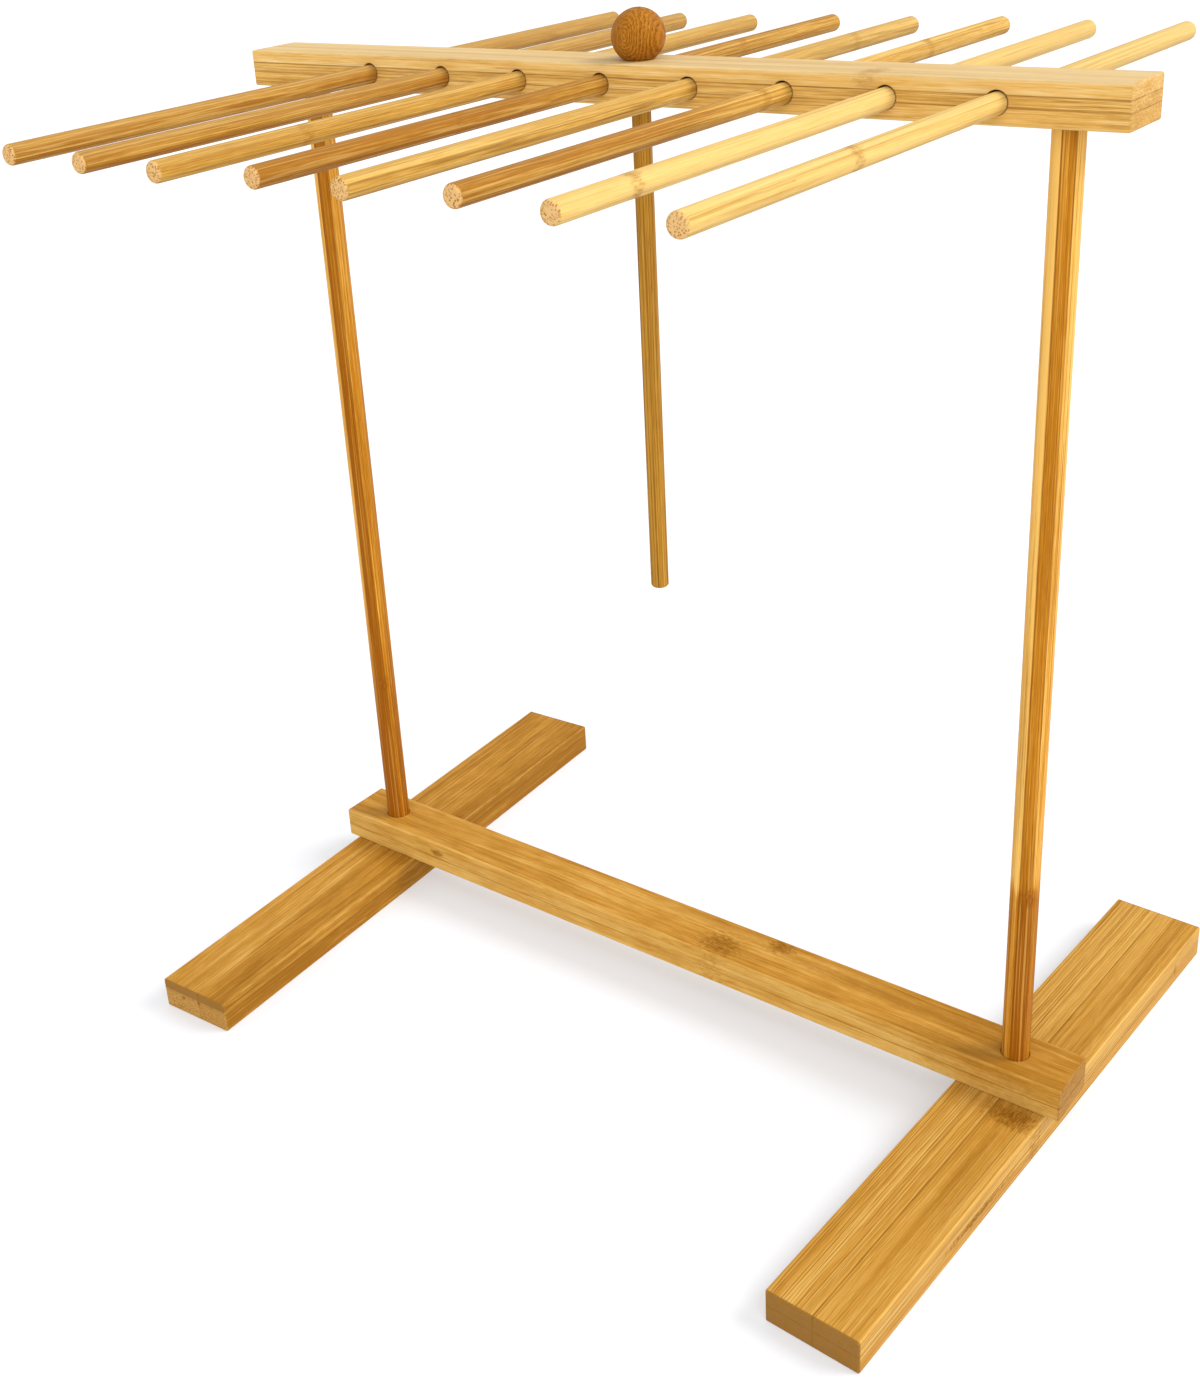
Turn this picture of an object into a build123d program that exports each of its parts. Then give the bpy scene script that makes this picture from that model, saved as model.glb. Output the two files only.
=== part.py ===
from build123d import *
from math import cos, radians, sin, sqrt, tan
import os

# A pasta drying rack of bamboo. Two flat feet carry a base bar and two posts. The posts
# carry a top bar with eight loose rods through it, and a wand hangs in its middle.
# X runs along the bars, Y along the feet and rods with the front at -Y, and Z is up.
# Sizes are in millimetres. Angles are in degrees, anticlockwise as seen from above.

# Feet
foot_length = 320
foot_width = 42
foot_height = 16
foot_lead = 4  # the middle of a foot is this far ahead of its post
left_foot_turn = 3
right_foot_turn = -2.4
foot_socket_depth = 8

# Base bar
base_overhang = 26.5  # from the middle of a post to the end of the bar
base_width = 28
base_height = 16

# Posts
post_spacing = 367
post_diameter = 12
post_clearance = 0.3  # all round the post, in the base bar and in the top bar's sockets
post_end_chamfer = 0.8
clear_height = 400  # between the base bar and the top bar

# Top bar
top_overhang = 26.5  # from the middle of a post to the end of the bar
top_width = 28
top_height = 16
top_socket_depth = 10

# Rods
rod_count = 8
rod_length = 380
rod_diameter = 8
rod_spacing = 42.4
rod_row_shift = 14.1  # the row stands this far right of the middle of the bar
rod_end_round = 1.5
rod_bore_clearance = 0.45  # all round a centred rod
rod_rest_gap = 0.15  # left beneath a rod, which lies low in its bore
rod_pull = 18  # the middle of a rod pulled by a share of 1 is this far ahead of the bar
rod_pull_shares = (1.02, 1.08, 1.17, 0.86, 1.0, 0.74, 1.12, 1.08)

# Wand
wand_length = 245
wand_shift = 2.9  # right of the middle of the bar
wand_clearance = 0.4  # all round the wand in the top bar
ball_diameter = 22
ball_flat_diameter = 12
ball_bore_depth = 12

# Foot screws, countersunk and driven up through a foot into its post
screw_diameter = 4
screw_length = 40
screw_head_diameter = 8
screw_head_rim = 0.3
screw_head_angle = 90
screw_tip_length = 5
screw_tip_diameter = 0.6
screw_sink = 0.5  # the head lies this far inside the foot's underside
screw_clearance = 0.2  # all round the screw in the foot
thread_clearance = 0.05  # all round the screw in the post
recess_span = 4.2
recess_width = 1
recess_depth = 1.8

# Shared
edge_easing = 0.8  # round on the edges of the feet and bars
glue_gap = 0.1  # all round a dowel that is glued into a blind socket
overrun = 5  # how far a cut runs past the face that it starts from

# Lengths of the bars
base_length = post_spacing + 2 * base_overhang
top_length = post_spacing + 2 * top_overhang

# Radii
post_radius = post_diameter / 2
post_bore_radius = post_radius + post_clearance
rod_radius = rod_diameter / 2
rod_bore_radius = rod_radius + rod_bore_clearance
wand_bore_radius = rod_radius + wand_clearance
ball_radius = ball_diameter / 2
ball_flat_radius = ball_flat_diameter / 2
screw_radius = screw_diameter / 2
screw_head_radius = screw_head_diameter / 2
screw_tip_radius = screw_tip_diameter / 2
screw_hole_radius = screw_radius + screw_clearance

# Heights above the floor
base_underside = foot_height
base_top = base_underside + base_height
top_underside = base_top + clear_height
top_face = top_underside + top_height
post_foot = foot_height - foot_socket_depth
post_top = top_underside + top_socket_depth
rod_bore_height = top_underside + top_height / 2
rod_height = rod_bore_height - rod_bore_clearance + rod_rest_gap
ball_height = top_face + sqrt(ball_radius**2 - ball_flat_radius**2)
wand_top = top_face + ball_bore_depth

# How far each rod is pulled forward through the top bar
rod_pulls = [rod_pull * share for share in rod_pull_shares[:rod_count]]


def foot_reach(turn):
    """How far a turned foot reaches from its post: left, right, front and back."""
    side = foot_width / 2 - edge_easing
    front = foot_length / 2 + foot_lead - edge_easing
    back = foot_length / 2 - foot_lead - edge_easing
    turned = radians(turn)
    corners = [(across, along) for across in (-side, side) for along in (-front, back)]
    xs = [across * cos(turned) - along * sin(turned) for across, along in corners]
    ys = [across * sin(turned) + along * cos(turned) for across, along in corners]
    return (
        min(xs) - edge_easing,
        max(xs) + edge_easing,
        min(ys) - edge_easing,
        max(ys) + edge_easing,
    )


# The origin is on the floor under the middle of the whole outline, and the middle of the
# bars stands where that puts it
bar_reach = max(base_length, top_length) / 2
left_reach = foot_reach(left_foot_turn)
right_reach = foot_reach(right_foot_turn)
left_end = min(-bar_reach, left_reach[0] - post_spacing / 2)
right_end = max(bar_reach, right_reach[1] + post_spacing / 2)
front_end = min(-rod_length / 2 - max(rod_pulls), left_reach[2], right_reach[2])
back_end = max(rod_length / 2 - min(rod_pulls), left_reach[3], right_reach[3])
bar_x = -(left_end + right_end) / 2
bar_y = -(front_end + back_end) / 2

left_post_x = bar_x - post_spacing / 2
right_post_x = bar_x + post_spacing / 2
wand_x = bar_x + wand_shift
rod_row_middle = bar_x + rod_row_shift
rod_xs = [rod_row_middle + (i - (rod_count - 1) / 2) * rod_spacing for i in range(rod_count)]


def level(x, height, turn=0):
    """A level plane over one point of the bars' centre line, turned about the vertical."""
    turned = radians(turn)
    return Plane(origin=(x, bar_y, height), x_dir=(cos(turned), sin(turned), 0), z_dir=(0, 0, 1))


def upright(x, y):
    """An upright plane that faces the front, measured from the floor at one place."""
    return Plane(origin=(x, y, 0), x_dir=(1, 0, 0), z_dir=(0, -1, 0))


os.makedirs("parts", exist_ok=True)

sides = (("left", left_post_x, left_foot_turn), ("right", right_post_x, right_foot_turn))

# Feet: flat boards, each with a blind socket for its post and a countersunk screw hole
head_flare = tan(radians(screw_head_angle / 2))
countersink_radius = (
    screw_head_radius + screw_clearance + (screw_sink + screw_head_rim) * head_flare
)
for side, post_x, turn in sides:
    with BuildPart() as foot:
        with BuildSketch(level(post_x, 0, turn)):
            with Locations((0, -foot_lead)):
                Rectangle(foot_width, foot_length)
        extrude(amount=foot_height)
        fillet(foot.edges(), edge_easing)
        with BuildSketch(level(post_x, foot_height)):
            Circle(post_radius + glue_gap)
        extrude(amount=-foot_socket_depth, mode=Mode.SUBTRACT)
        with Locations(Plane(origin=(post_x, bar_y, 0), z_dir=(0, 0, -1))):
            CounterSinkHole(
                radius=screw_hole_radius,
                counter_sink_radius=countersink_radius,
                depth=foot_height,
                counter_sink_angle=screw_head_angle,
            )
    foot.part.label = f"foot_{side}"
    export_step(foot.part, f"parts/foot_{side}.step")

# Base bar: lies across both feet, with a through bore for each post
with BuildPart() as base_bar:
    with BuildSketch(level(bar_x, base_underside)):
        Rectangle(base_length, base_width)
    extrude(amount=base_height)
    fillet(base_bar.edges(), edge_easing)
    with BuildSketch(level(bar_x, base_underside - overrun)):
        with GridLocations(post_spacing, 0, 2, 1):
            Circle(post_bore_radius)
    extrude(amount=base_height + 2 * overrun, mode=Mode.SUBTRACT)
base_bar.part.label = "base_bar"
export_step(base_bar.part, "parts/base_bar.step")

# Posts: dowels glued into the feet, bored up from below for the foot screws
screw_hole_top = screw_sink + screw_length + screw_clearance
for side, post_x, turn in sides:
    with BuildPart() as post:
        with BuildSketch(level(post_x, post_foot)):
            Circle(post_radius)
        extrude(amount=post_top - post_foot)
        chamfer(post.edges().filter_by(GeomType.CIRCLE), post_end_chamfer)
        with BuildSketch(level(post_x, post_foot)):
            Circle(screw_radius + thread_clearance)
        extrude(amount=screw_hole_top - post_foot, mode=Mode.SUBTRACT)
    post.part.label = f"post_{side}"
    export_step(post.part, f"parts/post_{side}.step")

# Foot screws: flat heads with a cross recess, a plain shank and a short point
head_height = (screw_head_radius - screw_radius) / head_flare
screw_top = screw_sink + screw_length
for side, post_x, turn in sides:
    with BuildPart() as screw:
        with BuildSketch(upright(post_x, bar_y)):
            with BuildLine():
                Polyline(
                    (0, screw_sink),
                    (screw_head_radius, screw_sink),
                    (screw_head_radius, screw_sink + screw_head_rim),
                    (screw_radius, screw_sink + screw_head_rim + head_height),
                    (screw_radius, screw_top - screw_tip_length),
                    (screw_tip_radius, screw_top),
                    (0, screw_top),
                    close=True,
                )
            make_face()
        revolve(axis=Axis((post_x, bar_y, 0), (0, 0, 1)))
        with BuildSketch(level(post_x, 0, turn)):
            Rectangle(recess_span, recess_width)
            Rectangle(recess_width, recess_span)
        extrude(amount=screw_sink + recess_depth, mode=Mode.SUBTRACT)
    screw.part.label = f"foot_screw_{side}"
    export_step(screw.part, f"parts/foot_screw_{side}.step")

# Top bar: blind sockets for the posts in its underside, a bore along Y for each rod and an
# upright bore for the wand
with BuildPart() as top_bar:
    with BuildSketch(level(bar_x, top_underside)):
        Rectangle(top_length, top_width)
    extrude(amount=top_height)
    fillet(top_bar.edges(), edge_easing)
    with BuildSketch(level(bar_x, top_underside)):
        with GridLocations(post_spacing, 0, 2, 1):
            Circle(post_bore_radius)
    extrude(amount=top_socket_depth, mode=Mode.SUBTRACT)
    with BuildSketch(level(wand_x, top_underside - overrun)):
        Circle(wand_bore_radius)
    extrude(amount=top_height + 2 * overrun, mode=Mode.SUBTRACT)
    with BuildSketch(upright(0, bar_y + top_width / 2 + overrun)):
        with Locations(*[(x, rod_bore_height) for x in rod_xs]):
            Circle(rod_bore_radius)
    extrude(amount=top_width + 2 * overrun, mode=Mode.SUBTRACT)
top_bar.part.label = "top_bar"
export_step(top_bar.part, "parts/top_bar.step")

# Rods: plain dowels with rounded ends, each pulled forward by its own amount
for number, (x, pull) in enumerate(zip(rod_xs, rod_pulls), start=1):
    with BuildPart() as rod:
        with BuildSketch(upright(x, bar_y - pull + rod_length / 2)):
            with Locations((0, rod_height)):
                Circle(rod_radius)
        extrude(amount=rod_length)
        fillet(rod.edges().filter_by(GeomType.CIRCLE), rod_end_round)
    rod.part.label = f"rod_{number}"
    export_step(rod.part, f"parts/rod_{number}.step")

# Wand: the same dowel, upright, hanging from a ball that sits on the top bar
with BuildPart() as wand_rod:
    with BuildSketch(level(wand_x, wand_top - wand_length)):
        Circle(rod_radius)
    extrude(amount=wand_length)
    fillet(wand_rod.edges().filter_by(GeomType.CIRCLE), rod_end_round)
wand_rod.part.label = "wand_rod"
export_step(wand_rod.part, "parts/wand_rod.step")

with BuildPart() as wand_ball:
    with Locations((wand_x, bar_y, ball_height)):
        Sphere(ball_radius)
    split(bisect_by=level(wand_x, top_face), keep=Keep.TOP)
    with BuildSketch(level(wand_x, top_face)):
        Circle(rod_radius + glue_gap)
    extrude(amount=ball_bore_depth, mode=Mode.SUBTRACT)
wand_ball.part.label = "wand_ball"
export_step(wand_ball.part, "parts/wand_ball.step")
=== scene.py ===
from math import cos, pi, radians, sin

import bmesh
import bpy
from bpy.props import FloatProperty, FloatVectorProperty, PointerProperty
from mathutils import Matrix, Vector


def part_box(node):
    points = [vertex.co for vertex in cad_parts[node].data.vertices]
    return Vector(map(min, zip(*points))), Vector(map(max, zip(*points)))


bl_info = {
    "name": "Pasta Drying Rack",
    "version": (1, 0, 0),
    "blender": (4, 5, 0),
    "location": "View3D > Sidebar > Pasta Rack",
    "description": "Finishes a pasta drying rack in bamboo and sets a studio around it",
    "category": "Object",
}

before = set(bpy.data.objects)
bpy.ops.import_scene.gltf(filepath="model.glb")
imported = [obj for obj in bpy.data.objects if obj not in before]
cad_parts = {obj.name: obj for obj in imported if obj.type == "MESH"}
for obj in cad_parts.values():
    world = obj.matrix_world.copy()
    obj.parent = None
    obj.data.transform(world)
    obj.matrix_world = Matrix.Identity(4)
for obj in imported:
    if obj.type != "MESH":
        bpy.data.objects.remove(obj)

MM = 0.001  # one millimetre, in metres
SIDES = ("left", "right")
RODS = tuple(f"rod_{number}" for number in range(1, 9))
WHITE = (1, 1, 1, 1)
NEXT_STRIP = 47.3  # how far a glued strip's fibres are moved, so that no two strips look alike
GLOSS = 0.12  # specular level of oiled wood
GLOSS_TINT = (1.0, 0.65, 0.25, 1)  # the oil's warm gloss
GRAIN_DEPTH = 0.12 * MM
GRAIN_STRENGTH = 0.4
RUBBED = 0.35  # how much paler handling has made the long edges
ZINC_DEPTH = 0.05 * MM


def size_of(node):
    """A node's size in millimetres along X, Y and Z."""
    low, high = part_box(node)
    return (high - low) / MM


def middle_of(node):
    """The middle of a node's box, in metres."""
    low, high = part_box(node)
    return (low + high) / 2


def shade(name, description, red, green, blue):
    """A colour that a user may change."""
    return FloatVectorProperty(
        name=name, description=description, subtype="COLOR", size=3, min=0, max=1,
        default=(red, green, blue),
    )


def length(name, description, millimetres):
    """A length that a user may change."""
    return FloatProperty(
        name=name, description=description, subtype="DISTANCE", unit="LENGTH",
        default=millimetres * MM, min=0,
    )


def angle(name, description, degrees):
    """An angle that a user may change."""
    return FloatProperty(
        name=name, description=description, subtype="ANGLE", default=radians(degrees)
    )


def way(name, description, x, y, z):
    """A direction that a user may change."""
    return FloatVectorProperty(
        name=name, description=description, subtype="DIRECTION", size=3, default=(x, y, z)
    )


class BoardSettings(bpy.types.PropertyGroup):
    """The feet and the base bar."""

    pale: shade("Pale fibre", "Lightest tone of the boards", 0.56, 0.335, 0.085)
    warm: shade("Warm fibre", "Middle tone of the boards", 0.42, 0.198, 0.027)
    deep: shade("Deep fibre", "Darkest tone of the boards", 0.25, 0.10, 0.006)
    line: shade("Fibre line", "Thin dark lines along the grain", 0.15, 0.053, 0.004)
    knuckle: shade("Knuckle", "Brown marks where the stem had a joint", 0.17, 0.06, 0.003)
    end: shade("End grain", "Ground of the sawn ends", 0.32, 0.17, 0.052)
    end_pale: shade("Paler end grain", "Ground of the left foot's ends", 0.43, 0.245, 0.070)
    end_shaded: shade("Darker end grain", "Ground of the right foot's ends", 0.22, 0.115, 0.032)
    foot_width: length("Foot width", "Width of one foot", 42)
    left_turn: angle("Left foot's turn", "The grain follows the left foot", 3)
    right_turn: angle("Right foot's turn", "The grain follows the right foot", -2.4)
    ply: length("Ply", "Thickness of one of the three layers", size_of("foot_right").z / 3)


class PostSettings(bpy.types.PropertyGroup):
    """The two posts."""

    pale: shade("Pale fibre", "Lightest tone of the posts", 0.72, 0.42, 0.10)
    warm: shade("Warm fibre", "Middle tone of the posts", 0.46, 0.185, 0.013)
    deep: shade("Deep fibre", "Darkest tone of the posts", 0.25, 0.072, 0.002)
    line: shade("Fibre line", "Thin dark lines along the grain", 0.17, 0.05, 0.002)
    knuckle: shade("Knuckle", "Brown marks where the stem had a joint", 0.18, 0.055, 0.006)
    end: shade("End grain", "Ground of the sawn ends", 0.45, 0.24, 0.07)
    strip_turn: angle("Turn of the strips", "How far the glued strips are turned", 40)


class TopBarSettings(bpy.types.PropertyGroup):
    """The top bar."""

    pale: shade("Pale fibre", "Lightest tone of the top bar", 0.69, 0.51, 0.24)
    warm: shade("Warm fibre", "Middle tone of the top bar", 0.60, 0.345, 0.087)
    # Painted sheen: the greyer tone that the top bar's upper face is mixed toward.
    sheen_and_greying: shade("Sheen_and_greying", "Tone of the top bar's upper face", 0.43, 0.40, 0.265)
    deep: shade("Deep fibre", "Darkest tone of the top bar", 0.34, 0.16, 0.026)
    line: shade("Fibre line", "Thin dark lines along the grain", 0.19, 0.075, 0.012)
    knuckle: shade("Knuckle", "Brown marks where the stem had a joint", 0.26, 0.11, 0.02)
    end: shade("End grain", "Ground of the sawn ends", 0.56, 0.34, 0.12)
    ply: length("Ply", "Thickness of one of the three layers", size_of("top_bar").z / 3)


class RodSettings(bpy.types.PropertyGroup):
    """The eight rods."""

    pale: shade("Pale fibre", "Lightest tone of the rods", 0.73, 0.51, 0.18)
    warm: shade("Warm fibre", "Middle tone of the rods", 0.48, 0.26, 0.045)
    deep: shade("Deep fibre", "Darkest tone of the rods", 0.27, 0.10, 0.008)
    line: shade("Fibre line", "Thin dark lines along the grain", 0.15, 0.055, 0.006)
    knuckle: shade("Knuckle", "Brown marks where the stem had a joint", 0.22, 0.075, 0.008)
    end: shade("End grain", "Cream ground of the sawn ends", 0.60, 0.375, 0.155)
    # Painted sheen: the greyer tone of the rods' upper sides; the far ends are mixed toward it
    # too.
    sheen_and_greying: shade("Sheen_and_greying", "Tone of the upper sides and far ends", 0.46, 0.315, 0.11)


class WandSettings(bpy.types.PropertyGroup):
    """The wand's rod and ball."""

    pale: shade("Pale fibre", "Lightest tone of the wand's rod", 0.62, 0.37, 0.07)
    warm: shade("Warm fibre", "Middle tone of the wand's rod", 0.42, 0.205, 0.024)
    deep: shade("Deep fibre", "Darkest tone of the wand's rod", 0.22, 0.09, 0.010)
    line: shade("Fibre line", "Thin dark lines along the grain", 0.15, 0.055, 0.007)
    end: shade("End grain", "Ground of the sawn end", 0.50, 0.28, 0.09)
    ball_pale: shade("Pale layer", "Lightest layers of the ball", 0.44, 0.19, 0.025)
    ball_warm: shade("Warm layer", "Middle layers of the ball", 0.27, 0.095, 0.007)
    ball_deep: shade("Deep layer", "Thin dark layers of the ball", 0.10, 0.026, 0.002)
    strip_turn: angle("Turn of the strips", "How far the rod's glued strips are turned", 40)
    layer: length("Layer", "Thickness of the ball's growth layers", 0.95)


class ScrewSettings(bpy.types.PropertyGroup):
    """The screws under the feet."""

    zinc: shade("Zinc", "Bright zinc plating", 0.62, 0.62, 0.60)
    dull_zinc: shade("Dull zinc", "Plating that has gone dull", 0.40, 0.40, 0.38)


class StudioSettings(bpy.types.PropertyGroup):
    """The camera, the floor and the light."""

    camera_place: FloatVectorProperty(
        name="Camera", description="Where the camera stands", subtype="TRANSLATION",
        unit="LENGTH", size=3, default=(0.42386, -0.570451, 0.544334),
    )
    camera_turn: angle("Camera's turn", "Left of the way the feet point", -40.412)
    camera_tilt: angle("Camera's tilt", "How far the camera looks down", 23.86)
    camera_roll: angle("Camera's roll", "How far the camera leans", -4.229)
    lens: FloatProperty(
        name="Lens", description="Focal length", subtype="DISTANCE_CAMERA",
        default=44.935, min=1,
    )
    sensor: FloatProperty(
        name="Sensor", description="Width of the picture in the camera, in millimetres",
        default=36, min=1,
    )
    shift_x: FloatProperty(name="Shift X", description="Sideways shift", default=0.0539)
    shift_y: FloatProperty(name="Shift Y", description="Upward shift", default=-0.0868)
    floor_radius: FloatProperty(
        name="Floor", description="Radius of the floor", unit="LENGTH", default=12, min=1
    )
    floor_colour: shade("Floor colour", "Plain pale floor", 0.460, 0.468, 0.490)
    floor_glow: FloatProperty(
        name="Floor glow", description="Light from beneath, as on a light table", default=0.37
    )
    key: FloatProperty(
        name="Key", description="Strength of the high soft light", default=2.3
    )
    key_width: angle("Key's width", "How wide the high light looks from the rack", 30)
    key_way: way("Key's way", "The way that the high light travels", -0.60, -0.40, -0.65)
    front: FloatProperty(name="Front", description="Strength of the front light", default=2.05)
    front_width: angle("Front's width", "How wide the front light looks from the rack", 75)
    front_way: way("Front's way", "The way that the front light travels", -0.50, 0.75, -0.45)
    fill: FloatProperty(
        name="Fill", description="Strength of the light all round", default=0.84
    )


class RackSettings(bpy.types.PropertyGroup):
    """Every size and colour of the rack's finish."""

    boards: PointerProperty(type=BoardSettings, name="Boards", description="Feet and base bar")
    posts: PointerProperty(type=PostSettings, name="Posts", description="The two posts")
    top_bar: PointerProperty(type=TopBarSettings, name="Top bar", description="The top bar")
    rods: PointerProperty(type=RodSettings, name="Rods", description="The eight rods")
    wand: PointerProperty(type=WandSettings, name="Wand", description="The wand")
    screws: PointerProperty(type=ScrewSettings, name="Screws", description="The foot screws")
    studio: PointerProperty(type=StudioSettings, name="Studio", description="Camera and light")


class Number:
    """A socket that carries a number. Python's operators on it add Math nodes."""

    def __init__(self, finish, socket):
        self.finish = finish
        self.socket = socket

    def __add__(self, other):
        return self.finish.math("ADD", self, other)

    def __radd__(self, other):
        return self.finish.math("ADD", other, self)

    def __sub__(self, other):
        return self.finish.math("SUBTRACT", self, other)

    def __rsub__(self, other):
        return self.finish.math("SUBTRACT", other, self)

    def __mul__(self, other):
        return self.finish.math("MULTIPLY", self, other)

    def __rmul__(self, other):
        return self.finish.math("MULTIPLY", other, self)

    def __truediv__(self, other):
        return self.finish.math("DIVIDE", self, other)

    def __rtruediv__(self, other):
        return self.finish.math("DIVIDE", other, self)

    def __pow__(self, other):
        return self.finish.math("POWER", self, other)

    def __rpow__(self, other):
        return self.finish.math("POWER", other, self)

    def __gt__(self, other):
        return self.finish.math("GREATER_THAN", self, other)

    def __lt__(self, other):
        return self.finish.math("LESS_THAN", self, other)

    def __abs__(self):
        return self.finish.math("ABSOLUTE", self)


class Finish:
    """One material in the making: its nodes, and the words that its pattern is written in."""

    def __init__(self, name):
        self.material = bpy.data.materials.get(name) or bpy.data.materials.new(name)
        self.material.use_nodes = True
        self.tree = self.material.node_tree
        self.tree.nodes.clear()

    def node(self, kind, settings=None, sockets=None):
        """Adds a node: its settings come first, and then its sockets' values or links."""
        made = self.tree.nodes.new(kind)
        for name, value in (settings or {}).items():
            if name == "stops":
                self.set_stops(made.color_ramp, value)
            else:
                setattr(made, name, value)
        for name, value in (sockets or {}).items():
            value = value.socket if isinstance(value, Number) else value
            if isinstance(value, bpy.types.NodeSocket):
                self.tree.links.new(value, made.inputs[name])
            else:
                made.inputs[name].default_value = value
        return made

    def set_stops(self, ramp, stops):
        """Gives a colour ramp its stops, each a position and a colour."""
        while len(ramp.elements) < len(stops):
            ramp.elements.new(1)
        for element, (position, colour) in zip(ramp.elements, stops):
            element.position = position
            element.color = (*colour, 1)

    def math(self, operation, *values):
        """The outcome of one Math node."""
        made = self.node("ShaderNodeMath", {"operation": operation}, dict(enumerate(values)))
        return Number(self, made.outputs[0])

    def larger(self, *values):
        """The largest of several numbers."""
        largest = values[0]
        for value in values[1:]:
            largest = self.math("MAXIMUM", largest, value)
        return largest

    def rise(self, value, low, high):
        """0 below low, 1 above high and smooth between."""
        made = self.node(
            "ShaderNodeMapRange", {"interpolation_type": "SMOOTHSTEP"},
            {"Value": value, "From Min": low, "From Max": high},
        )
        return Number(self, made.outputs[0])

    def vector(self, x, y, z):
        """A vector made of three numbers."""
        return self.node("ShaderNodeCombineXYZ", None, {"X": x, "Y": y, "Z": z}).outputs[0]

    def numbers(self, vector):
        """The three numbers of a vector."""
        made = self.node("ShaderNodeSeparateXYZ", None, {"Vector": vector})
        return [Number(self, socket) for socket in made.outputs]

    def squeezed(self, vector, x, y, z):
        """A vector in which these lengths, in its own unit, count as 1."""
        return self.node(
            "ShaderNodeVectorMath", {"operation": "DIVIDE"}, {0: vector, 1: (x, y, z)}
        ).outputs[0]

    def noise(self, vector, detail=2.0, roughness=0.5):
        """Soft random bumps about one unit wide, around one half."""
        made = self.node(
            "ShaderNodeTexNoise", {"noise_dimensions": "3D"},
            {"Vector": vector, "Scale": 1.0, "Detail": detail, "Roughness": roughness},
        )
        return Number(self, made.outputs[0])

    def cells(self, vector):
        """Cells about one unit wide, as a node that tells their distances and colours."""
        return self.node("ShaderNodeTexVoronoi", None, {"Vector": vector, "Scale": 1.0})

    def distance(self, vector):
        """How far the middle of a place's cell is."""
        return Number(self, self.cells(vector).outputs["Distance"])

    def chance(self, vector):
        """A random number for each cell, from 0 to 1."""
        colour = self.cells(vector).outputs["Color"]
        made = self.node("ShaderNodeSeparateColor", None, {"Color": colour})
        return Number(self, made.outputs[0])

    def mixed(self, part, first, second):
        """The first colour where part is 0 and the second where it is 1."""
        share, first_colour, second_colour, outcome = 0, 6, 7, 2  # sockets of a Mix node
        made = self.node(
            "ShaderNodeMix", {"data_type": "RGBA", "clamp_factor": True},
            {share: part, first_colour: self.plain(first), second_colour: self.plain(second)},
        )
        return made.outputs[outcome]

    def plain(self, colour):
        """A colour as a socket takes it."""
        return colour if isinstance(colour, bpy.types.NodeSocket) else (*colour, 1)

    def shaded(self, part, stops):
        """The colour that a number has on a ramp."""
        return self.node("ShaderNodeValToRGB", {"stops": stops}, {"Fac": part}).outputs["Color"]


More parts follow.
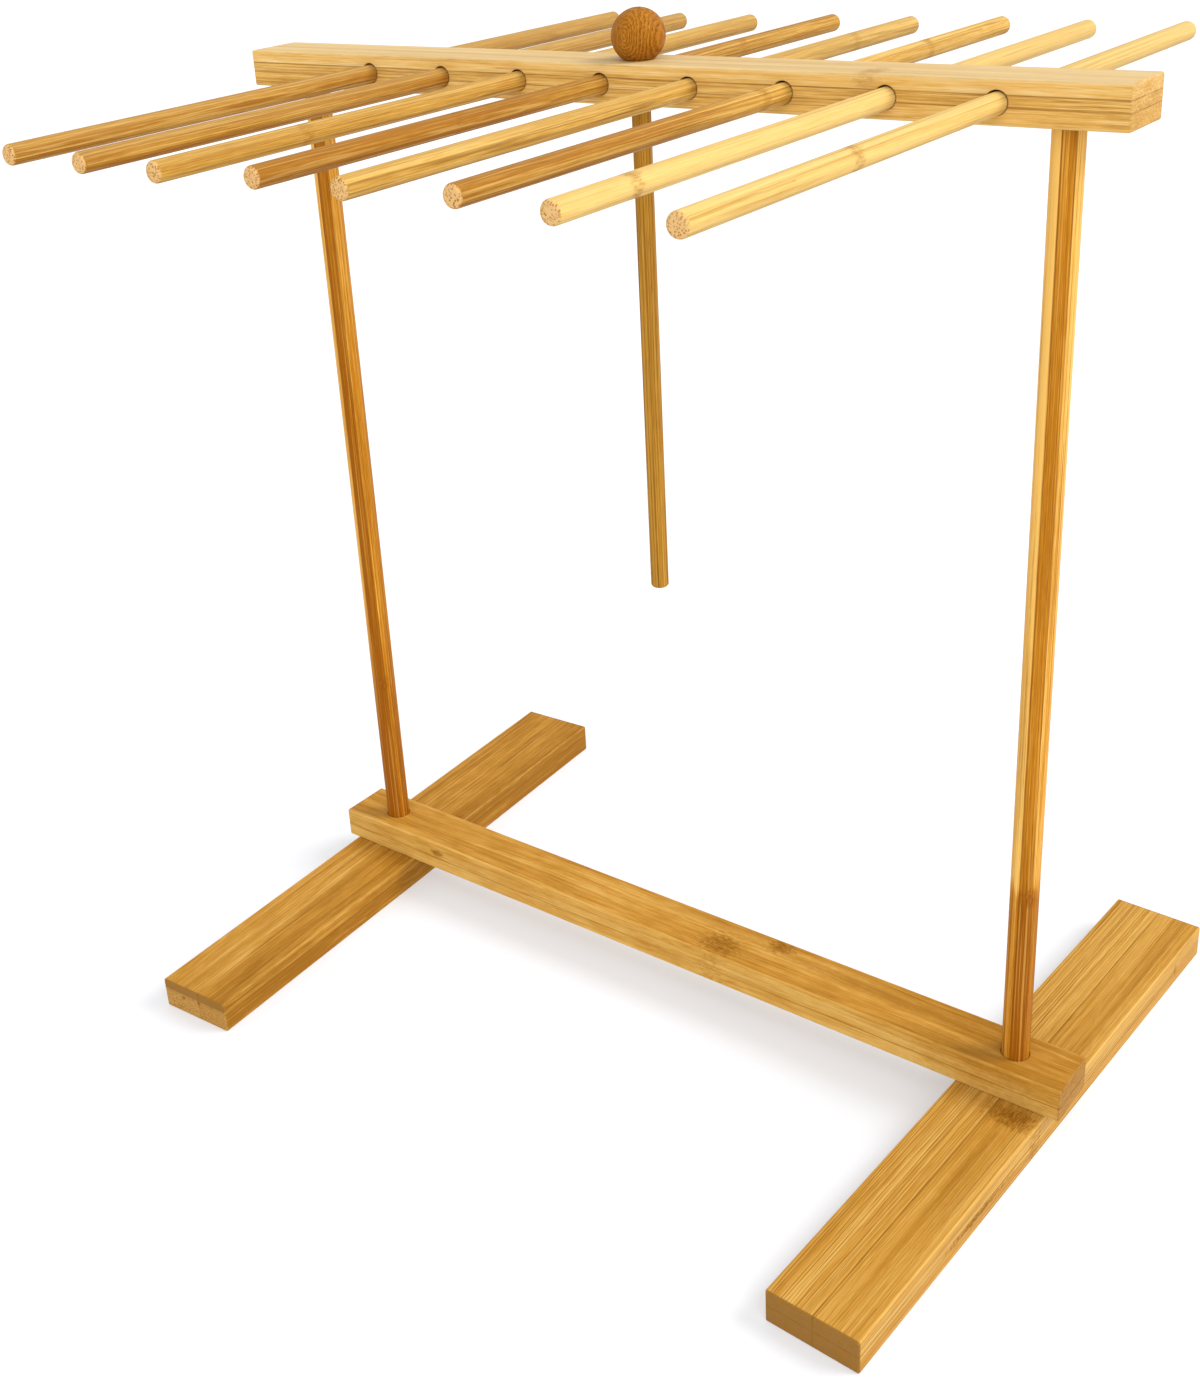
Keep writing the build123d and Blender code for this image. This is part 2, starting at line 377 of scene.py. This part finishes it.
class Bamboo(Finish):
    """Bamboo on one piece: strips, fibres, knuckles, sawn ends and wear, in that order.

    Lengths are in millimetres, from the middle of the piece."""

    def __init__(self, name, node, grain, colours, seed, turn=0.0):
        super().__init__(name)
        self.colours = colours
        where = self.node("ShaderNodeTexCoord").outputs["Object"]
        local = self.node(
            "ShaderNodeMapping", {"vector_type": "TEXTURE"},
            {"Vector": where, "Location": middle_of(node), "Rotation": (0, 0, turn),
             "Scale": (MM, MM, MM)},
        ).outputs[0]
        x, y, z = self.numbers(local)
        self.along, self.across, self.through = {
            "X": (x, y, z), "Y": (y, x, z), "Z": (z, x, y),
        }[grain]
        self.local = self.vector(self.along, self.across, self.through)
        self.tone = 0.5
        self.shift = float(seed)
        self.seam = 0.0

    def glue(self, position, bounds, tones, width=0.4):
        """Strips glued side by side. Each has its own tone and its own stretch of fibre."""
        self.tone = self.tone + tones[0]
        for bound, before, after in zip(bounds, tones, tones[1:]):
            beyond = position > bound
            self.tone = self.tone + beyond * (after - before)
            self.shift = self.shift + beyond * NEXT_STRIP
            near = 1 - self.rise(abs(position - bound), width * 0.25, width)
            self.seam = self.larger(self.seam, near)

    def fibres(self, width, wander, stretch=1.0):
        """Where the fibres run, in bundles about width wide, and the relief that they give.

        Each noise is squeezed to be long along the grain and narrow across it."""
        drift = self.noise(self.squeezed(self.local, 130, 26, 26), 1) - 0.5
        across = self.across + drift * wander * 4 + self.shift
        self.fibre = self.vector(self.along + self.shift * 3, across, self.through + self.shift)
        streaks = self.squeezed(self.fibre, 120 * stretch, width, width)
        self.streak = self.noise(streaks, 3, 0.65) - 0.5
        self.fine = self.noise(self.squeezed(self.fibre, 9, 0.4, 0.4), 2) - 0.5
        groups = self.squeezed(self.fibre, 260, width * 7, width * 7)
        group = self.rise(self.noise(groups, 1), 0.35, 0.62)
        chance = self.chance(self.squeezed(self.fibre, 90, 0.42, 0.42))
        # about one bundle in seven is a dark line, and one in eight a bright one
        self.lines = self.rise(chance, 0.80, 0.92) * (group * 0.85 + 0.15)
        self.bright = (1 - self.rise(chance, 0.08, 0.18)) * group
        self.height = (
            self.streak * 0.5 + self.fine * 0.5 - self.lines * 0.8 + self.bright * 0.3
        )
        self.rough = 0.55 - self.streak * 0.25 + self.lines * 0.1

    def grow(self, width, wander, contrast, lines, stretch=1.0, cloud=0.0):
        """Fibres along the piece: soft streaks, and thin dark and bright lines.

        A smaller stretch makes shorter streaks, and cloud adds soft blotches."""
        self.fibres(width, wander, stretch)
        broad = self.noise(self.squeezed(self.fibre, 210, width * 6, width * 6), 2) - 0.5
        blotch = self.noise(self.squeezed(self.local, 17, 6, 6), 3, 0.6) - 0.5
        bundle = self.chance(self.squeezed(self.fibre, 60, width * 0.5, width * 0.5)) - 0.5
        tone = self.tone + blotch * cloud + (
            broad * 1.0 + self.streak * 0.7 + bundle * 0.26 + self.fine * 0.6
        ) * contrast
        self.colour = self.shaded(
            tone,
            [(0.08, self.colours.deep), (0.5, self.colours.warm), (0.92, self.colours.pale)],
        )
        self.colour = self.mixed(self.lines * lines, self.colour, self.colours.line)
        self.colour = self.mixed(self.bright * lines * 0.6, self.colour, self.colours.pale)
        if isinstance(self.seam, Number):
            uneven = self.rise(self.noise(self.squeezed(self.local, 30, 8, 8), 2), 0.3, 0.7)
            self.seam = self.seam * (uneven * 0.6 + 0.4)
            self.colour = self.mixed(self.seam * 0.8, self.colour, self.colours.line)
            self.height = self.height - self.seam

    def ruled(self, position, spacing, part, strength):
        """Fine dark lines at a regular spacing that come and go, each beside a pale one."""
        drift = self.noise(self.squeezed(self.local, 90, 10, 10), 2) - 0.5
        place = (position + drift * 2 + self.streak * 0.4) / spacing
        phase = self.math("FRACT", place)
        there = self.rise(self.noise(self.squeezed(self.fibre, 45, 1.2, 1.2), 1), 0.36, 0.56)
        ink = self.rise(abs(phase - 0.5), 0.34, 0.46) * there * part
        next_phase = self.math("FRACT", place + 0.3)
        beside = self.rise(abs(next_phase - 0.5), 0.36, 0.48) * there * part
        self.colour = self.mixed(ink * strength, self.colour, self.colours.line)
        self.colour = self.mixed(beside * strength * 0.45, self.colour, self.colours.pale)
        self.height = self.height - ink * 0.8

    def spot(self, along, beside, length, width, position, ragged=1.3):
        """How far a place lies inside an oval with a ragged outline, from 0 to 1."""
        off_along = (self.along - along) / length
        off_across = (position - beside) / width
        rag = (self.noise(self.squeezed(self.local, 3.0, 1.6, 1.6), 2) - 0.5) * ragged
        reach = (off_along * off_along + off_across * off_across) ** 0.5 + rag
        return 1 - self.rise(reach, 0.15, 1.0)

    def knuckle(self, along, beside, length, width, strength, position=None):
        """A brown mark of short dashes where the stem had a joint."""
        inside = self.spot(along, beside, length, width, position or self.across)
        torn = self.noise(self.squeezed(self.local, 2.6, 0.6, 0.6), 3, 0.65)
        dashes = self.rise(torn, 0.44, 0.56)
        flecks = 1 - self.rise(torn, 0.34, 0.42)
        self.colour = self.mixed(inside * 0.75 * strength, self.colour, self.colours.deep)
        self.colour = self.mixed(
            inside * dashes * strength * 0.8, self.colour, self.colours.knuckle
        )
        self.colour = self.mixed(
            inside * flecks * strength * 0.4, self.colour, self.colours.warm
        )
        self.height = self.height - inside * dashes * 0.6 + inside * 0.3
        self.rough = self.rough + inside * 0.1

    def stain(self, along, beside, length, width, strength):
        """A soft brown streak along the fibres."""
        inside = self.spot(along, beside, length, width, self.across, ragged=0.7)
        self.colour = self.mixed(
            inside * (self.streak * 2 + 0.8) * strength, self.colour, self.colours.deep
        )

    def sheen_and_greying(self, part, tone):
        """Mixes in a paler, greyer tone: a painted sheen where it lies on upper faces."""
        self.colour = self.mixed(part * (self.fine + 1), self.colour, tone)

    def sawn_ends(self, half_length, ground, strength, ease=1.0, layered=0.7):
        """Cut ends: the fibre bundles show as small dots in a paler ground.

        They begin ease inside half_length, and layered is how dark their growth layers are."""
        end = self.rise(abs(self.along), half_length - ease, half_length - ease * 0.3)
        bundle = self.distance(self.squeezed(self.fibre, 40, 0.8, 0.8))
        dots = 1 - self.rise(bundle, 0.28, 0.52)
        patch = self.rise(self.noise(self.squeezed(self.fibre, 40, 2.4, 2.4), 2), 0.35, 0.65)
        dark = (1 - self.rise(self.tone, 0.2, 0.55)) * layered * 0.7
        sawn = self.mixed(dark, ground, self.colours.deep)
        sawn = self.mixed(dots * (0.45 + patch * 0.5), sawn, self.colours.deep)
        layers = self.noise(self.squeezed(self.local, 40, 7, 1.1), 3, 0.6)
        sawn = self.mixed(self.rise(layers, 0.42, 0.68) * layered, sawn, self.colours.deep)
        sawn = self.mixed(self.seam * 0.55, sawn, self.colours.line)
        self.colour = self.mixed(end * strength, self.colour, sawn)
        self.rough = self.rough + end * 0.16
        self.height = self.height - end * dots * 0.8

    def pin(self, along, across, through):
        """The dark point of a small pin in an end."""
        width = 1.5
        place = self.vector(self.along - along, self.across - across, self.through - through)
        away = self.node("ShaderNodeVectorMath", {"operation": "LENGTH"}, {0: place})
        inside = 1 - self.rise(Number(self, away.outputs["Value"]), width * 0.3, width)
        self.colour = self.mixed(inside * 0.8, self.colour, self.colours.knuckle)

    def worn_edges(self, half_across, half_through):
        """Long edges that handling has rubbed paler and smoother."""
        side = 1 - self.rise(half_across - abs(self.across), 0.3, 1.5)
        face = 1 - self.rise(half_through - abs(self.through), 0.3, 1.5)
        uneven = self.rise(self.noise(self.squeezed(self.local, 9, 2, 2), 3), 0.35, 0.65)
        rubbed = side * face * (uneven * 0.7 + 0.3)
        self.colour = self.mixed(rubbed * RUBBED, self.colour, self.colours.pale)
        self.rough = self.rough - rubbed * 0.08

    def burnt_and_shaded(self, distance, radius, strength):
        """The mouth and wall of a bore, browned by the drill and darkened as painted shade
        inside the bore.
        """
        mouth = 1 - self.rise(distance, radius, radius + 0.5)
        self.colour = self.mixed(mouth * strength, self.colour, self.colours.line)
        self.rough = self.rough + mouth * 0.15

    def done(self):
        """Joins colour, roughness and height to the surface, and returns the material."""
        uneven = self.node(
            "ShaderNodeBump", None,
            {"Strength": GRAIN_STRENGTH, "Distance": GRAIN_DEPTH, "Height": self.height},
        )
        surface = self.node(
            "ShaderNodeBsdfPrincipled", None,
            {"Base Color": self.colour, "Roughness": self.rough,
             "Normal": uneven.outputs[0], "Specular IOR Level": GLOSS,
             "Specular Tint": GLOSS_TINT},
        )
        self.node("ShaderNodeOutputMaterial", None, {"Surface": surface.outputs[0]})
        return self.material


class Air(Finish):
    """The light all round. To look at, it is as white as the floor, whatever its strength."""

    def __init__(self, name, strength):
        self.world = bpy.data.worlds.new(name)
        self.world.use_nodes = True
        self.tree = self.world.node_tree
        self.tree.nodes.clear()
        light = self.node("ShaderNodeBackground", None, {"Color": WHITE, "Strength": strength})
        backdrop = self.node("ShaderNodeBackground", None, {"Color": WHITE, "Strength": 1.0})
        rays = self.node("ShaderNodeLightPath")
        share, first, second = 0, 1, 2  # sockets of a Mix Shader node
        both = self.node("ShaderNodeMixShader", None, {
            share: rays.outputs["Is Camera Ray"],
            first: light.outputs[0], second: backdrop.outputs[0],
        })
        self.node("ShaderNodeOutputWorld", None, {"Surface": both.outputs[0]})


def wear(node, material):
    """Puts a material on a piece of the frame."""
    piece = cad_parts[node]
    if not piece.material_slots:
        piece.data.materials.append(None)
    for slot in piece.material_slots:
        slot.material = material


def settings():
    """Every size and colour of the rack's finish, as the user has them."""
    return bpy.context.scene.pasta_rack


class RACK_OT_feet(bpy.types.Operator):
    """Finish the two feet as boards glued from two strips in three layers"""

    bl_idname = "rack.feet"
    bl_label = "Feet"

    def execute(self, context):
        boards = settings().boards
        turned_corners = 0.9  # how far they make a foot's box longer than the foot, at each end
        half_length = size_of("foot_left").y / 2 - turned_corners
        half_width = boards.foot_width / MM / 2
        for side, turn, seed in zip(SIDES, (boards.left_turn, boards.right_turn), (11, 47)):
            node = f"foot_{side}"
            wood = Bamboo(f"bamboo_{node}", node, "Y", boards, seed, turn)
            if side == "right":
                self.right_foot(wood, boards, half_length, half_width)
            else:
                self.left_foot(wood, boards, half_length, half_width)
            wood.worn_edges(half_width, size_of(node).z / 2)
            wear(node, wood.done())
        return {"FINISHED"}

    def right_foot(self, wood, boards, half_length, half_width):
        """Straight fine grain with ruled lines, and a pale upper half on its right side."""
        wood.glue(wood.across, bounds=(0.4,), tones=(0.05, -0.03))
        wood.glue(wood.through, bounds=(boards.ply / MM * 0.1,), tones=(0.0, 0.06))
        flank = wood.rise(wood.across, half_width - 1.0, half_width - 0.2)
        low = 1 - wood.rise(wood.through, -2.5, 0.5)
        wood.tone = wood.tone + flank * (0.24 - low * 0.22)
        wood.grow(width=0.7, wander=0.8, contrast=1.0, lines=0.5)
        flat = 1 - wood.rise(abs(wood.across), half_width - 1.2, half_width - 0.4)
        left = 1 - wood.rise(wood.across, -9, 3)
        far = wood.rise(wood.along, 20, 90) * 0.6
        wood.ruled(
            wood.across, spacing=1.25, strength=0.75,
            part=flat * (left * 0.75 + 0.25) * (1 - far),
        )
        wood.ruled(wood.through, spacing=1.7, part=1 - flat, strength=0.4)
        wood.stain(along=-60, beside=9, length=45, width=5, strength=0.45)
        wood.knuckle(along=-18, beside=10, length=9, width=17, strength=0.9)
        wood.knuckle(-69, -1.0, length=34, width=2.4, strength=1.0, position=wood.through)
        wood.knuckle(131, 0, length=2.5, width=4, strength=0.6, position=wood.through)
        wood.sawn_ends(half_length, boards.end_shaded, strength=0.95)

    def left_foot(self, wood, boards, half_length, half_width):
        """Cloudy grain that is browner at the back, and two pins in the front end."""
        wood.glue(wood.across, bounds=(3.0,), tones=(-0.04, -0.16))
        wood.glue(wood.through, bounds=(boards.ply / MM * 0.4,), tones=(-0.06, 0.0))
        far = wood.rise(wood.along, 40, 130)
        flank = wood.rise(wood.across, half_width - 1.0, half_width - 0.2)
        wood.tone = wood.tone - flank * 0.1 - far * 0.14
        wood.grow(width=1.4, wander=2.4, contrast=0.95, lines=0.25, stretch=0.45, cloud=0.45)
        wood.stain(along=-60, beside=2, length=70, width=3.5, strength=0.7)
        wood.stain(along=-20, beside=-9, length=40, width=3, strength=0.5)
        wood.stain(along=40, beside=15, length=60, width=5, strength=0.7)
        wood.knuckle(along=32, beside=17, length=9, width=8, strength=0.6)
        top_layer = wood.rise(wood.through, 2.8, 3.6)
        ground = wood.mixed(top_layer, boards.end_pale, boards.end_shaded)
        wood.sawn_ends(half_length, ground, strength=0.95, layered=0.4)
        wood.pin(-half_length, across=-7.6, through=1.6)
        wood.pin(-half_length, across=2.9, through=2.2)


class RACK_OT_base_bar(bpy.types.Operator):
    """Finish the base bar as a board with a few knuckles and two drilled bores"""

    bl_idname = "rack.base_bar"
    bl_label = "Base bar"

    def execute(self, context):
        boards = settings().boards
        wood = Bamboo("bamboo_base_bar", "base_bar", "X", boards, seed=83)
        half_length, half_width, half_height = size_of("base_bar") / 2
        end = wood.rise(abs(wood.along), half_length - 1.2, half_length - 0.6)
        layer = -boards.ply / MM * 0.2
        wood.glue(wood.through, bounds=(layer,), tones=(0.08, 0.0), width=end * 0.5 + 0.3)
        # Painted light: the front face is painted paler, as if lit from the front.
        front = 1 - wood.rise(wood.across, 0.8 - half_width, 1.6 - half_width)
        wood.tone = wood.tone + front * 0.2
        right = wood.rise(wood.along, 60, 190)
        wood.tone = wood.tone - right * wood.rise(wood.through, -3, 5) * 0.1
        wood.grow(width=1.4, wander=3.0, contrast=0.85, lines=0.15, stretch=0.35, cloud=0.55)
        wood.stain(along=120, beside=5, length=90, width=6, strength=0.7)
        wood.stain(along=180, beside=-10, length=60, width=8, strength=0.6)
        wood.stain(along=20, beside=8, length=60, width=4, strength=0.4)
        wood.knuckle(along=34, beside=-5, length=15, width=11, strength=0.95)
        wood.knuckle(along=60, beside=9, length=9, width=7, strength=1.0)
        wood.knuckle(-143, 2.5, length=6, width=3, strength=0.8, position=wood.through)
        wood.sawn_ends(half_length, boards.end, strength=0.85)
        wood.worn_edges(half_width, half_height)
        spacing = (middle_of("post_right").x - middle_of("post_left").x) / MM
        from_post = abs(wood.along) - spacing / 2
        reach = (from_post * from_post + wood.across * wood.across) ** 0.5
        play = 0.3  # between a post and its bore
        # A darker ring and wall at each post's bore: drill browning and painted shade in the
        # bore.
        wood.burnt_and_shaded(reach, size_of("post_left").x / 2 + play, strength=0.2)
        wear("base_bar", wood.done())
        return {"FINISHED"}


class RACK_OT_posts(bpy.types.Operator):
    """Finish the two posts as dowels turned from three glued strips"""

    bl_idname = "rack.posts"
    bl_label = "Posts"

    def execute(self, context):
        posts = settings().posts
        tones, blends = (0.25, 0.5), (50, 7)
        for side, seed, tone, blend in zip(SIDES, (19, 67), tones, blends):
            node = f"post_{side}"
            wood = Bamboo(f"bamboo_{node}", node, "Z", posts, seed, posts.strip_turn)
            wood.tone = tone
            wood.glue(wood.across, bounds=(-3.8, 0.9), tones=(0.42, -0.24, 0.17))
            browner_below = -105
            low = 1 - wood.rise(wood.along, browner_below - blend, browner_below + blend)
            wood.tone = wood.tone * (1 - low * 0.5) - low * 0.1
            wood.tone = wood.tone + wood.rise(wood.along, 20, 120) * 0.14
            wood.grow(width=0.7, wander=0.5, contrast=0.9, lines=0.5)
            part = wood.rise(wood.across, -3, 0) * 0.8 + 0.2
            wood.ruled(wood.across, spacing=1.3, part=part, strength=0.45)
            wood.knuckle(along=-109, beside=0, length=7, width=5, strength=0.7)
            wood.sawn_ends(size_of(node).z / 2, posts.end, strength=0.7)
            wear(node, wood.done())
        return {"FINISHED"}


class RACK_OT_top_bar(bpy.types.Operator):
    """Finish the top bar as three layers with drilled bores"""

    bl_idname = "rack.top_bar"
    bl_label = "Top bar"

    def execute(self, context):
        colours = settings().top_bar
        wood = Bamboo("bamboo_top_bar", "top_bar", "X", colours, seed=29)
        half_length, half_width, half_height = size_of("top_bar") / 2
        ply = colours.ply / MM
        wood.glue(wood.through, bounds=(-ply * 0.3, ply * 0.5), tones=(-0.12, -0.06, 0.08))
        # Painted light: the upper face is painted a little darker in tone.
        top = wood.rise(wood.through, half_height - 1.0, half_height - 0.2)
        wood.tone = wood.tone - top * 0.03
        wood.grow(width=0.8, wander=1.2, contrast=0.9, lines=0.35)
        middle = wood.rise(wood.through, -ply * 0.35, -ply * 0.25) * (
            1 - wood.rise(wood.through, ply * 0.45, ply * 0.55)
        )
        wood.ruled(wood.through, spacing=1.2, part=middle, strength=0.5)
        # Painted sheen: the upper face is mixed toward a paler, greyer tone.
        sheen_and_greying_share = wood.rise(wood.through, half_height - 0.8, half_height - 0.1)
        wood.sheen_and_greying(sheen_and_greying_share * 0.35, colours.sheen_and_greying)
        wood.knuckle(along=112, beside=-8, length=7, width=12, strength=0.45)
        wood.sawn_ends(half_length, colours.end, strength=0.6)
        wood.worn_edges(half_width, half_height)
        first, last = middle_of("rod_1"), middle_of("rod_8")
        here = middle_of("top_bar")
        final = len(RODS) - 1
        spacing = (last.x - first.x) / MM / final
        count = (wood.along - (first.x - here.x) / MM) / spacing
        nearest = wood.math("MINIMUM", wood.larger(wood.math("ROUND", count), 0), final)
        off = (count - nearest) * spacing
        reach = (off * off + wood.through * wood.through) ** 0.5
        play = 0.45  # between a rod and its bore
        # A darker ring and wall at each rod's bore: drill browning and painted shade in the
        # bore.
        wood.burnt_and_shaded(reach, size_of("rod_1").x / 2 + play, strength=0.3)
        wear("top_bar", wood.done())
        return {"FINISHED"}


class RACK_OT_rods(bpy.types.Operator):
    """Finish the eight rods, each with its own tone and knuckles"""

    bl_idname = "rack.rods"
    bl_label = "Rods"

    def execute(self, context):
        rods = settings().rods
        knuckles = {  # how far from the middle of the rod
            "rod_1": (132,), "rod_2": (60,), "rod_3": (-119,), "rod_4": (-88, 105),
            "rod_5": (132,), "rod_6": (-18, 113), "rod_7": (-152,), "rod_8": (-97,),
        }
        tones = (-0.42, -0.4, -0.18, -0.42, -0.06, -0.32, 0.30, 0.25)  # paler above 0
        paler_by_the_bar = {"rod_4": 0.2, "rod_6": 0.34}
        for number, (node, tone) in enumerate(zip(RODS, tones)):
            wood = Bamboo(f"bamboo_{node}", node, "Y", rods, seed=13 + number * 31)
            wood.tone = 0.5 + tone
            paler = paler_by_the_bar.get(node)
            if paler:
                wood.tone = wood.tone + wood.rise(wood.along, -90, 0) * paler
            calm = 1 - max(tone, 0) * 1.6  # pale rods have a quieter grain
            wood.grow(width=0.6, wander=0.6, contrast=0.85 * calm, lines=0.5 * calm)
            spacing = 1.1 + number % 3 * 0.25
            wood.ruled(wood.across + number * 0.7, spacing, part=1.0, strength=0.5 * calm)
            for along in knuckles[node]:
                wood.knuckle(along, beside=0, length=5, width=7, strength=0.55)
            # Painted sheen: the upper sides are mixed toward a greyer tone, and the far halves
            # are mixed toward the same tone.
            sheen_and_greying_share = 0.08 if paler else 0.3
            wood.sheen_and_greying(wood.rise(wood.through, -1, 4) * sheen_and_greying_share, rods.sheen_and_greying)
            wood.sheen_and_greying(wood.rise(wood.along, 0, 60) * sheen_and_greying_share, rods.sheen_and_greying)
            wood.sawn_ends(size_of(node).y / 2, rods.end, strength=0.95, ease=1.1, layered=0.0)
            wear(node, wood.done())
        return {"FINISHED"}


class RACK_OT_wand(bpy.types.Operator):
    """Finish the wand's rod, and its ball in thin turned growth layers"""

    bl_idname = "rack.wand"
    bl_label = "Wand"

    def execute(self, context):
        wand = settings().wand
        self.rod(wand)
        self.ball(wand)
        return {"FINISHED"}

    def rod(self, wand):
        """Two glued strips with ruled lines."""
        wood = Bamboo("bamboo_wand_rod", "wand_rod", "Z", wand, seed=53, turn=wand.strip_turn)
        wood.glue(wood.across, bounds=(-1.0,), tones=(-0.05, 0.03))
        wood.tone = wood.tone - 0.12
        wood.grow(width=0.7, wander=0.5, contrast=0.9, lines=0.4)
        wood.ruled(wood.across, spacing=1.2, part=1.0, strength=0.6)
        wood.sawn_ends(size_of("wand_rod").z / 2, wand.end, strength=0.9, ease=1.3)
        wear("wand_rod", wood.done())

    def ball(self, wand):
        """Growth layers round a line that leans a little, wider upward than sideways."""
        ball = Bamboo("bamboo_wand_ball", "wand_ball", "Z", wand, seed=7)
        ball.fibres(width=0.5, wander=0.2)
        warp = ball.noise(ball.squeezed(ball.local, 9, 4, 4), 2) - 0.5
        ripple = ball.noise(ball.squeezed(ball.local, 1.4, 0.8, 0.8), 3, 0.6) - 0.5
        beside = ball.across * 0.998 + ball.through * 0.06
        above = ball.along + ball.through * 0.035
        away = (beside * beside + above * above * 0.4) ** 0.5
        curly = ball.rise(ball.along, -2, 8) * 1.0 + 0.55
        layers = away / (wand.layer / MM) + warp * 1.5 + ripple * curly
        wave = ball.math("SINE", layers * (2 * pi)) * 0.5 + 0.5
        ball.colour = ball.shaded(
            wave * 0.3 + ball.streak * 0.6 + ball.fine * 0.6 + ripple * 0.7 + 0.35,
            [(0.1, wand.ball_deep), (0.42, wand.ball_warm), (0.95, wand.ball_pale)],
        )
        ball.height = ball.height + wave * 0.8
        wear("wand_ball", ball.done())


class RACK_OT_foot_screws(bpy.types.Operator):
    """Finish the screws under the feet in zinc plating"""

    bl_idname = "rack.foot_screws"
    bl_label = "Foot screws"

    def execute(self, context):
        colours = settings().screws
        zinc = Finish("screw_zinc")
        where = zinc.node("ShaderNodeTexCoord").outputs["Object"]
        clouds = zinc.squeezed(where, 0.6 * MM, 0.6 * MM, 2 * MM)
        cloudy = zinc.rise(zinc.noise(clouds, 4, 0.6), 0.35, 0.7)
        tool_marks = zinc.noise(zinc.squeezed(where, 3 * MM, 3 * MM, 0.08 * MM), 2)
        uneven = zinc.node(
            "ShaderNodeBump", None,
            {"Strength": 0.3, "Distance": ZINC_DEPTH, "Height": tool_marks},
        )
        surface = zinc.node(
            "ShaderNodeBsdfPrincipled", None,
            {"Base Color": zinc.mixed(cloudy, colours.zinc, colours.dull_zinc),
             "Metallic": 1.0, "Roughness": 0.28 + cloudy * 0.2, "Normal": uneven.outputs[0]},
        )
        zinc.node("ShaderNodeOutputMaterial", None, {"Surface": surface.outputs[0]})
        for side in SIDES:
            wear(f"foot_screw_{side}", zinc.material)
        return {"FINISHED"}


class RACK_OT_studio(bpy.types.Operator):
    """Set the camera, a plain pale floor and soft light"""

    bl_idname = "rack.studio"
    bl_label = "Studio"

    def execute(self, context):
        studio = settings().studio
        self.set_camera(context, studio)
        self.lay_floor(context, studio)
        self.light(context, studio)
        return {"FINISHED"}

    def set_camera(self, context, studio):
        turn, tilt, roll = studio.camera_turn, studio.camera_tilt, studio.camera_roll
        ahead = Vector((sin(turn) * cos(tilt), cos(turn) * cos(tilt), -sin(tilt)))
        level = Vector((cos(turn), -sin(turn), 0))
        above = level.cross(ahead)
        right = level * cos(roll) + above * sin(roll)
        up = above * cos(roll) - level * sin(roll)
        data = bpy.data.cameras.new("camera")
        data.sensor_width = studio.sensor
        data.lens = studio.lens
        data.shift_x = studio.shift_x
        data.shift_y = studio.shift_y
        data.clip_end = studio.floor_radius * 5
        camera = bpy.data.objects.new("camera", data)
        camera.matrix_world = Matrix.Translation(studio.camera_place) @ Matrix(
            (right, up, -ahead)
        ).transposed().to_4x4()
        context.scene.collection.objects.link(camera)
        context.scene.camera = camera

    def lay_floor(self, context, studio):
        shape = bmesh.new()
        bmesh.ops.create_circle(
            shape, cap_ends=True, segments=96, radius=studio.floor_radius
        )
        mesh = bpy.data.meshes.new("floor")
        shape.to_mesh(mesh)
        shape.free()
        floor = bpy.data.objects.new("floor", mesh)
        context.scene.collection.objects.link(floor)
        paper = Finish("floor_paper")
        where = paper.node("ShaderNodeTexCoord").outputs["Object"]
        spots = 4 * MM
        soft = paper.noise(paper.squeezed(where, spots, spots, spots), 3)
        surface = paper.node(
            "ShaderNodeBsdfPrincipled", None,
            {"Base Color": (*studio.floor_colour, 1), "Roughness": 0.7 + soft * 0.2,
             "Emission Color": WHITE, "Emission Strength": studio.floor_glow},
        )
        paper.node("ShaderNodeOutputMaterial", None, {"Surface": surface.outputs[0]})
        mesh.materials.append(paper.material)

    def light(self, context, studio):
        context.scene.world = Air("studio", studio.fill).world
        self.soft_light(context, "key", studio.key, studio.key_width, studio.key_way)
        self.soft_light(context, "front", studio.front, studio.front_width, studio.front_way)
        context.scene.view_settings.view_transform = "Standard"

    def soft_light(self, context, name, strength, width, travel):
        """A wide light from far away that travels in one direction."""
        data = bpy.data.lights.new(name, "SUN")
        data.energy = strength
        data.angle = width
        lamp = bpy.data.objects.new(name, data)
        lamp.rotation_euler = Vector(travel).to_track_quat("-Z", "Y").to_euler()
        context.scene.collection.objects.link(lamp)


STEPS = (
    RACK_OT_studio, RACK_OT_feet, RACK_OT_base_bar, RACK_OT_posts, RACK_OT_top_bar,
    RACK_OT_rods, RACK_OT_wand, RACK_OT_foot_screws,
)


class RACK_PT_panel(bpy.types.Panel):
    """Lists the steps that finish the rack"""

    bl_idname = "RACK_PT_panel"
    bl_label = "Pasta Drying Rack"
    bl_space_type = "VIEW_3D"
    bl_region_type = "UI"
    bl_category = "Pasta Rack"

    def draw(self, context):
        for step in STEPS:
            self.layout.operator(step.bl_idname)


CLASSES = (
    BoardSettings, PostSettings, TopBarSettings, RodSettings, WandSettings, ScrewSettings,
    StudioSettings, RackSettings, *STEPS, RACK_PT_panel,
)


def register():
    for kind in CLASSES:
        bpy.utils.register_class(kind)
    bpy.types.Scene.pasta_rack = PointerProperty(
        type=RackSettings, name="Pasta rack", description="The rack's finish"
    )


def unregister():
    del bpy.types.Scene.pasta_rack
    for kind in reversed(CLASSES):
        bpy.utils.unregister_class(kind)


def main():
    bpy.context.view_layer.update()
    register()
    for step in STEPS:
        family, name = step.bl_idname.split(".")
        getattr(getattr(bpy.ops, family), name)()


if __name__ == "__main__":
    main()
